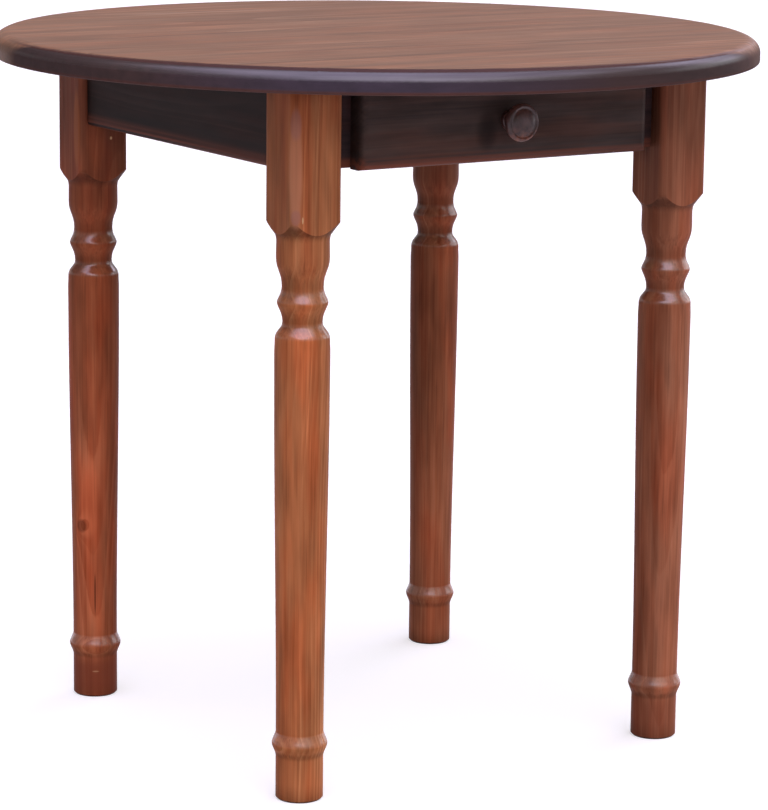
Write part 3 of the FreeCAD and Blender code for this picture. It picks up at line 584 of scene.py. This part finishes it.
def top_board(number):
    """Flat-sawn board, so that its pith lies well under or over it."""
    side = 1 if number % 2 else -1
    pith = (TOP_PITH_ASIDE * side * ((number * 5) % 3 - 1), TOP_PITH_DEPTH * side)
    marks = [
        ((across, 0.0, along), (width, 1.0, length), STREAK_COLOUR, STREAK_SHARE)
        for across, along, width, length in TOP_STREAKS.get(number, ())
    ]
    seed = TOP_SEED + number * TOP_SEED_STEP
    wood = Pine(
        f"top_pine_{number}", f"top_board_{number}", "X", TOP_LOOK, seed, pith, marks=marks
    )

    x, y, z = wood.place
    reach = wood.root(x * x + y * y)
    lean = (x * RIGHTWARD[0] + y * RIGHTWARD[1]) / reach
    ends = lean * lean
    # painted light at the ends: the top's paler colour runs further over the rounding
    past = reach - ends * RIM_WANDER - RIM_START + wood.streaks * RIM_RAGGED
    blur = ends.step(*RIM_BLUR_ENDS)
    # and fades into the rim more softly there, more on the left
    widening = blur * (1.0 - lean * RIM_BLUR_LEAN) * RIM_BLUR + 1.0
    rim = (past / widening).step(0.0, RIM_FADE)
    line = past.step(-RIM_FADE, 0.0) * wood.slope.step(*RIM_LINE_SLOPES) * (1.0 - blur)

    # painted violet reflection in the middle of the rim's front and back
    stain = wood.mix(ends * RIM_REFLECTION_FADE, RIM_PAINTED_REFLECTION, RIM_COLOUR)
    # painted light at the ends, in a paler brown
    stain = wood.mix(blur, stain, RIM_LIT_END_COLOUR)
    stain = wood.mix(z.step(*RIM_FOOT), stain, RIM_LINE_COLOUR)
    # painted shade at the rim's ends
    tone = (wood.streaks * RIM_STREAK + 1.0) * (1.0 - ends * RIM_SHADE)
    colour = wood.mix(rim, wood.colour(), wood.tint(stain, tone))
    colour = wood.mix(line * RIM_LINE_SHARE, colour, RIM_LINE_COLOUR)

    gloss = wood.gloss()
    wear = wood.speckle(RIM_WEAR) * RIM_WEAR_DEPTH + 1.0
    coat = rim * (1.0 - line) * wood.slope.step(*RIM_SLOPES) * (wear * RIM_COAT).clamped()
    coat = coat * (1.0 - ends * RIM_DULL) * (1.0 - blur)
    material = wood.finish(colour, gloss + rim * (RIM_ROUGHNESS - gloss), coat)
    dry = past.step(0.0, RIM_FADE) * ends * RIM_DRY
    wood.put("Specular IOR Level", (1.0 - dry) * TOP_LOOK["specular"])
    return material


for number in range(1, TOP_BOARDS + 1):
    dress(f"top_board_{number}", top_board(number))


# ---- legs -------------------------------------------------------------------------------
RAW_WOOD = rgb(0.56, 0.33, 0.16)
RUBBED_STAIN = rgb(0.34, 0.105, 0.034)
CORNER_STAIN = rgb(0.46, 0.200, 0.105)
PAINTED_GLARE = rgb(0.23, 0.110, 0.105)         # painted violet glare on the square's rounded corner
CRACK = rgb(0.050, 0.014, 0.008)
# darkens the feet
FOOT_DARKENING = rgb(0.150, 0.036, 0.018)
# Each leg: seed, the pith's place across, the stain's factors, how much painted shade darkens
# the top, the knots' places and radii, the marks' places, reaches, colours and shares, and the
# painted shade on one side, by the direction across, where it starts and is full, and its depth.
# Places are from the leg's middle.
LEGS = {
    "leg_front_left": dict(
        seed=3.1, pith=(0.070, 0.006), stain=(1.0, 1.0, 1.0), shade=0.26,
        side_shades=((RIGHTWARD, 0.0, -0.024, 0.13),),
        marks=(
            ((-0.0285, -0.0050, 0.2900), (0.006, 0.030, 0.090), RUBBED_STAIN, 0.25),
            ((-0.0245, -0.0263, 0.2780), (0.008, 0.008, 0.070), CORNER_STAIN, 0.55),
            # painted glare on the rounded corner of the square
            ((-0.0245, -0.0263, 0.3227), (0.007, 0.007, 0.018), PAINTED_GLARE, 0.35),
            ((-0.0241, -0.0267, 0.2331), (0.006, 0.006, 0.009), PAINTED_GLARE, 0.35),
            ((-0.0175, -0.0285, 0.2300), (0.0011, 0.004, 0.0040), RAW_WOOD, 0.9),
        ),
    ),
    "leg_front_right": dict(
        seed=8.4, pith=(0.030, 0.070), stain=(0.81, 0.81, 1.08), shade=0.38,
        side_shades=((RIGHTWARD, 0.012, -0.022, 0.36),),
        marks=(((0.0, 0.0, -0.3350), (0.045, 0.045, 0.034), FOOT_DARKENING, 0.35),),
    ),
    "leg_back_left": dict(
        seed=5.7, pith=(0.024, 0.040), stain=(0.85, 0.69, 0.77), shade=0.50,
        side_shades=((RIGHTWARD, 0.000, 0.022, 0.40), (RIGHTWARD, -0.006, -0.022, 0.26)),
        knots=(((-0.0202, -0.0096, -0.1650), 0.0046),),
        marks=(
            ((-0.0285, -0.0175, 0.2700), (0.0060, 0.0080, 0.050), RUBBED_STAIN, 0.55),
            ((-0.0120, -0.0285, 0.2600), (0.0130, 0.0060, 0.040), RUBBED_STAIN, 0.15),
            ((0.0070, -0.0285, 0.2603), (0.0016, 0.003, 0.0020), RAW_WOOD, 0.9),
            ((-0.0111, -0.0214, -0.2410), (0.0012, 0.0012, 0.028), CRACK, 0.7),
            ((0.0, 0.0, -0.3350), (0.045, 0.045, 0.034), FOOT_DARKENING, 0.75),
            ((-0.0096, -0.0198, -0.3287), (0.0050, 0.0040, 0.0012), RAW_WOOD, 0.4),
        ),
    ),
    "leg_back_right": dict(
        seed=9.9, pith=(-0.020, 0.062), stain=(0.72, 0.69, 0.88), shade=0.78,
        side_shades=((RIGHTWARD, 0.008, -0.022, 0.34), (RIGHTWARD, 0.010, 0.024, 0.15)),
        marks=(
            ((-0.0205, -0.0081, 0.0580), (0.0010, 0.0010, 0.0050), RAW_WOOD, 0.4),
            ((-0.0041, -0.0216, 0.1820), (0.0012, 0.0012, 0.0018), RAW_WOOD, 0.5),
        ),
    ),
}
for node, leg in LEGS.items():
    look = dict(stained(LEG_LOOK, *leg.pop("stain")), shade=leg.pop("shade"))
    dress(node, Pine(node.replace("leg", "leg_pine"), node, "Z", look, **leg).finish())


# ---- aprons, drawer front and knob, dark stain -------------------------------------------
APRON_STAIN = (0.62, 0.55, 0.46)
DARK = {                                # grain and the stain's factors
    "side_apron_left": ("Y", APRON_STAIN),
    "side_apron_right": ("Y", APRON_STAIN),
    "back_apron": ("X", APRON_STAIN),
    "front_apron": ("X", (1.7, 2.0, 2.3)),
    "drawer_front": ("X", (2.2, 2.75, 2.65)),
    "drawer_knob": ("Y", (2.7, 2.3, 2.3)),
}
DARK_SEED = 20.0
DARK_SEED_STEP = 3.3
DARK_PITH = (0.03, 0.05)
LOWER_EDGE_RED = rgb(0.155, 0.047, 0.027)   # red along the lower edges
LOWER_EDGE_BAND = (0.016, 0.0032)             # heights over a piece's foot
LOWER_EDGE_SHARE = 0.55
LOWER_EDGE_STREAKS = 3.0
LOWER_EDGE_LINES = 2.0
KNOB_SHADOW = rgb(0.008, 0.005, 0.005)        # painted shadow of the knob, beside it on the drawer front
KNOB_SHADOW_PLACE = (0.004, -0.010, -0.026)   # from the drawer front's middle along Y, Z and X
KNOB_SHADOW_REACH = (0.024, 0.030, 0.020)
KNOB_SHADOW_SHARE = 0.75
KNOB_COAT = 0.28
KNOB_COAT_STREAKS = 0.5


def dark_piece(number, node, grain, stain):
    """Dark stain, redder along the lower edge; on the drawer front, the knob's painted shadow."""
    marks = []
    # the knob's painted shadow on the drawer front
    if node == "drawer_front":
        marks.append((KNOB_SHADOW_PLACE, KNOB_SHADOW_REACH, KNOB_SHADOW, KNOB_SHADOW_SHARE))
    look = stained(DARK_LOOK, *stain)
    seed = DARK_SEED + number * DARK_SEED_STEP
    wood = Pine("dark_pine_" + node, node, grain, look, seed, DARK_PITH, marks=marks)
    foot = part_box(node)[0].z
    # a red band along the lower edges
    lower_edge = wood.streaks * LOWER_EDGE_STREAKS + wood.lines * LOWER_EDGE_LINES + LOWER_EDGE_SHARE
    lower_edge = wood.place[2].step(*(foot + height for height in LOWER_EDGE_BAND)) * lower_edge.clamped()
    colour = wood.mix(lower_edge, wood.colour(), LOWER_EDGE_RED)
    coat = wood.streaks * KNOB_COAT_STREAKS + KNOB_COAT if node == "drawer_knob" else None
    return wood.finish(colour, coat=coat)


for number, (node, (grain, stain)) in enumerate(DARK.items()):
    dress(node, dark_piece(number, node, grain, stain))


# ---- bare pine inside -------------------------------------------------------------------
PLAIN = {                               # grain
    "drawer_runner_left": "Y",
    "drawer_runner_right": "Y",
    "kicker_left": "Y",
    "kicker_right": "Y",
    "drawer_side_left": "Y",
    "drawer_side_right": "Y",
    "drawer_back": "X",
    "drawer_stop_block": "X",
    "stop_rail": "X",
}
PLAIN_SEED = 50.0
PLAIN_SEED_STEP = 2.9
PLAIN_PITH = (0.02, 0.06)
for number, (node, grain) in enumerate(PLAIN.items()):
    seed = PLAIN_SEED + number * PLAIN_SEED_STEP
    dress(node, Pine("plain_pine_" + node, node, grain, PLAIN_LOOK, seed, PLAIN_PITH).finish())


# ---- plywood ----------------------------------------------------------------------------
PLY_LOOK = dict(PLAIN_LOOK, ring=0.0090, ring_contrast=0.35, streak=0.4, blotch=0.50)
PLY_SEED = 91.0
PLY_PITH = (0.0, 0.35)
PLIES = 5
PLY_DARKNESS = 0.32                     # of the plies that show end grain on the edges
PLY_EDGE_SLOPES = (0.7, 0.3)


def plywood(node):
    """Veneers, glued crosswise, as the bands on the edges show."""
    wood = Pine("plywood_birch", node, "X", PLY_LOOK, PLY_SEED, PLY_PITH)
    low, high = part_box(node)
    ply = ((wood.place[2] - low.z) / ((high.z - low.z) / PLIES)).floor()
    crosswise = (ply / 2.0).fract() * 2.0       # 1 for every second ply
    edge = wood.slope.absolute().step(*PLY_EDGE_SLOPES)
    return wood.finish(wood.tint(wood.colour(), 1.0 - crosswise * edge * PLY_DARKNESS))


dress("drawer_bottom", plywood("drawer_bottom"))


# ---- dowels -----------------------------------------------------------------------------
BEECH_COLOUR = rgb(0.55, 0.36, 0.22)
BEECH_CLOUDS = (70.0, 70.0, 70.0)       # periods per metre
BEECH_CLOUD_DEPTH = 0.4
BEECH_FLECKS = (1400.0, 1400.0, 1400.0)
BEECH_FLECK_LIMITS = (0.16, 0.26)
BEECH_FLECK_DARKNESS = 0.30
BEECH_ROUGHNESS = 0.62
BEECH_ROUGHNESS_SPREAD = 0.2
BEECH_BUMP = 0.2
BEECH_RELIEF_DEPTH = 0.0002


def beech():
    """Pale pink-brown wood, close and even, with short dark flecks."""
    wood = Shader("dowel_beech")
    cloud = wood.speckle(BEECH_CLOUDS)
    fleck = wood.speckle(BEECH_FLECKS, detail=1.0).step(*BEECH_FLECK_LIMITS)
    tone = cloud * BEECH_CLOUD_DEPTH - fleck * BEECH_FLECK_DARKNESS + 1.0
    wood.put("Base Color", wood.tint(BEECH_COLOUR, tone))
    wood.put("Roughness", cloud * BEECH_ROUGHNESS_SPREAD + BEECH_ROUGHNESS)
    wood.put("Normal", wood.bump(fleck * -1.0, BEECH_BUMP, BEECH_RELIEF_DEPTH))
    return wood.material


BEECH = beech()
for node in ("leg_dowels", "runner_dowels", "drawer_dowels"):
    dress(node, BEECH)


# ---- zinc-plated steel ------------------------------------------------------------------
ZINC_COLOUR = rgb(0.60, 0.61, 0.62)
ZINC_CLOUDS = (180.0, 180.0, 180.0)     # periods per metre
ZINC_CLOUD_DEPTH = 0.35
ZINC_RUBBING = (900.0, 900.0, 140.0)
ZINC_ROUGHNESS = 0.38
ZINC_ROUGH_CLOUDS = 0.25
ZINC_ROUGH_RUBBING = 0.2


def zinc():
    """Thin zinc coat: pale grey metal with cloudy patches and fine rubbing."""
    steel = Shader("zinc_steel_plate")
    cloud = steel.speckle(ZINC_CLOUDS, detail=3.0)
    rub = steel.speckle(ZINC_RUBBING)
    roughness = cloud * ZINC_ROUGH_CLOUDS + rub * ZINC_ROUGH_RUBBING + ZINC_ROUGHNESS
    steel.put("Base Color", steel.tint(ZINC_COLOUR, cloud * ZINC_CLOUD_DEPTH + 1.0))
    steel.put("Roughness", roughness)
    steel.put("Metallic", 1.0)
    return steel.material


ZINC = zinc()
for node in (
    "top_brackets", "bracket_screws", "kicker_screws", "stop_block_screws", "knob_screw",
    "drawer_bottom_pins",
):
    dress(node, ZINC)


# ---- camera, lamps and floor ------------------------------------------------------------
def add_object(name, data):
    """A new object in the scene."""
    thing = bpy.data.objects.new(name, data)
    bpy.context.scene.collection.objects.link(thing)
    return thing


def shine_from(lamp, way):
    """Turns a lamp so that its light comes from a direction."""
    lamp.rotation_mode = "QUATERNION"
    lamp.rotation_quaternion = way.to_track_quat("Z", "Y")


def make_camera():
    data = bpy.data.cameras.new("camera")
    data.sensor_width = SENSOR
    data.lens = CAMERA_FOCAL * SENSOR / max(PHOTO_WIDTH, PHOTO_HEIGHT)
    data.clip_end = CAMERA_CLIP_END
    camera = add_object("camera", data)
    forward = Vector((
        math.sin(CAMERA_YAW) * math.cos(CAMERA_PITCH),
        math.cos(CAMERA_YAW) * math.cos(CAMERA_PITCH),
        math.sin(CAMERA_PITCH),
    ))
    level = Vector((math.cos(CAMERA_YAW), -math.sin(CAMERA_YAW), 0.0))
    upright = level.cross(forward)
    right = level * math.cos(CAMERA_ROLL) + upright * math.sin(CAMERA_ROLL)
    up = upright * math.cos(CAMERA_ROLL) - level * math.sin(CAMERA_ROLL)
    turn = Matrix((right, up, -forward)).transposed()
    camera.matrix_world = Matrix.Translation(CAMERA_PLACE) @ turn.to_4x4()
    bpy.context.scene.camera = camera


def make_key():
    data = bpy.data.lights.new("key", "SUN")
    data.energy = KEY_STRENGTH
    data.color = KEY_COLOUR
    data.angle = KEY_SOFTNESS
    shine_from(add_object("key", data), KEY_FROM)


def make_window():
    data = bpy.data.lights.new("window", "AREA")
    data.shape = "RECTANGLE"
    data.size = WINDOW_WIDTH
    data.size_y = WINDOW_HEIGHT
    data.energy = WINDOW_RADIANCE * math.pi * WINDOW_WIDTH * WINDOW_HEIGHT
    data.color = WINDOW_COLOUR
    window = add_object("window", data)
    window.location = WINDOW_AIM + WINDOW_STAND
    shine_from(window, WINDOW_STAND)


def make_world():
    """The room's light by direction: each tone is laid over the one before."""
    world = bpy.data.worlds.new("studio")
    bpy.context.scene.world = world
    world.use_nodes = True
    room = Graph(world.node_tree)
    background = room.tree.nodes["Background"]
    x, y, z = room.split(room.add("ShaderNodeTexCoord").outputs["Generated"])
    front = x * FRONTWARD[0] + y * FRONTWARD[1]
    aside = (x * RIGHTWARD[0] + y * RIGHTWARD[1]).absolute()
    height = z.maximum(LEAST_HEIGHT)
    ceiling = z.step(*CEILING_HEIGHTS)
    panel = ceiling * (aside / height).step(*PANEL_SIDES) * (front / height).step(*PANEL_BACK)
    gleam = (x * GLEAM[0] + y * GLEAM[1] + z * GLEAM[2]).step(*GLEAM_REACH)
    far = z.step(*BACKDROP_HEIGHTS) * (BACK_WALL_TONE - BACKDROP_TONE)
    tone = front.step(*FAR_SIDE) * (far + (BACKDROP_TONE - WALL_TONE)) + WALL_TONE
    for share, level in ((ceiling, CEILING_TONE), (panel, PANEL_TONE), (gleam, GLEAM_TONE)):
        tone = tone + share * (level - tone)
    room.feed(background.inputs["Color"], room.mix(panel.maximum(gleam), WHITE, PANEL_COLOUR))
    room.feed(background.inputs["Strength"], tone)


def floor_paper():
    """Pale paper, lifted to white where the camera or a mirror sees it, and clear from below."""
    paper = Shader("floor_paper")
    tone = paper.speckle(FLOOR_CLOUDS) * FLOOR_CLOUD_DEPTH + FLOOR_TONE
    path = paper.add("ShaderNodeLightPath")
    camera, glossy, through = (
        Field(paper, path.outputs[ray])
        for ray in ("Is Camera Ray", "Is Glossy Ray", "Is Transmission Ray")
    )
    paper.put("Base Color", paper.tint(WHITE, tone))
    paper.put("Roughness", FLOOR_ROUGHNESS)
    paper.put("Specular IOR Level", FLOOR_SPECULAR)
    paper.put("Emission Color", WHITE)
    paper.put("Emission Strength", camera.maximum(glossy).maximum(through) * FLOOR_LIFT)
    sides = paper.add("ShaderNodeMixShader")
    paper.feed(sides.inputs[0], paper.add("ShaderNodeNewGeometry").outputs["Backfacing"])
    paper.feed(sides.inputs[1], paper.surface.outputs[0])
    paper.feed(sides.inputs[2], paper.add("ShaderNodeBsdfTransparent").outputs[0])
    paper.feed(paper.tree.nodes["Material Output"].inputs["Surface"], sides.outputs[0])
    return paper.material


def make_floor():
    """Round floor at the height of the feet."""
    turns = [2 * math.pi * side / FLOOR_SIDES for side in range(FLOOR_SIDES)]
    ring = [(FLOOR_RADIUS * math.cos(turn), FLOOR_RADIUS * math.sin(turn), 0.0) for turn in turns]
    mesh = bpy.data.meshes.new("floor")
    mesh.from_pydata(ring, [], [list(range(FLOOR_SIDES))])
    mesh.materials.append(floor_paper())
    floor = add_object("floor", mesh)


make_camera()
make_key()
make_window()
make_world()
make_floor()
bpy.context.scene.view_settings.view_transform = "Standard"
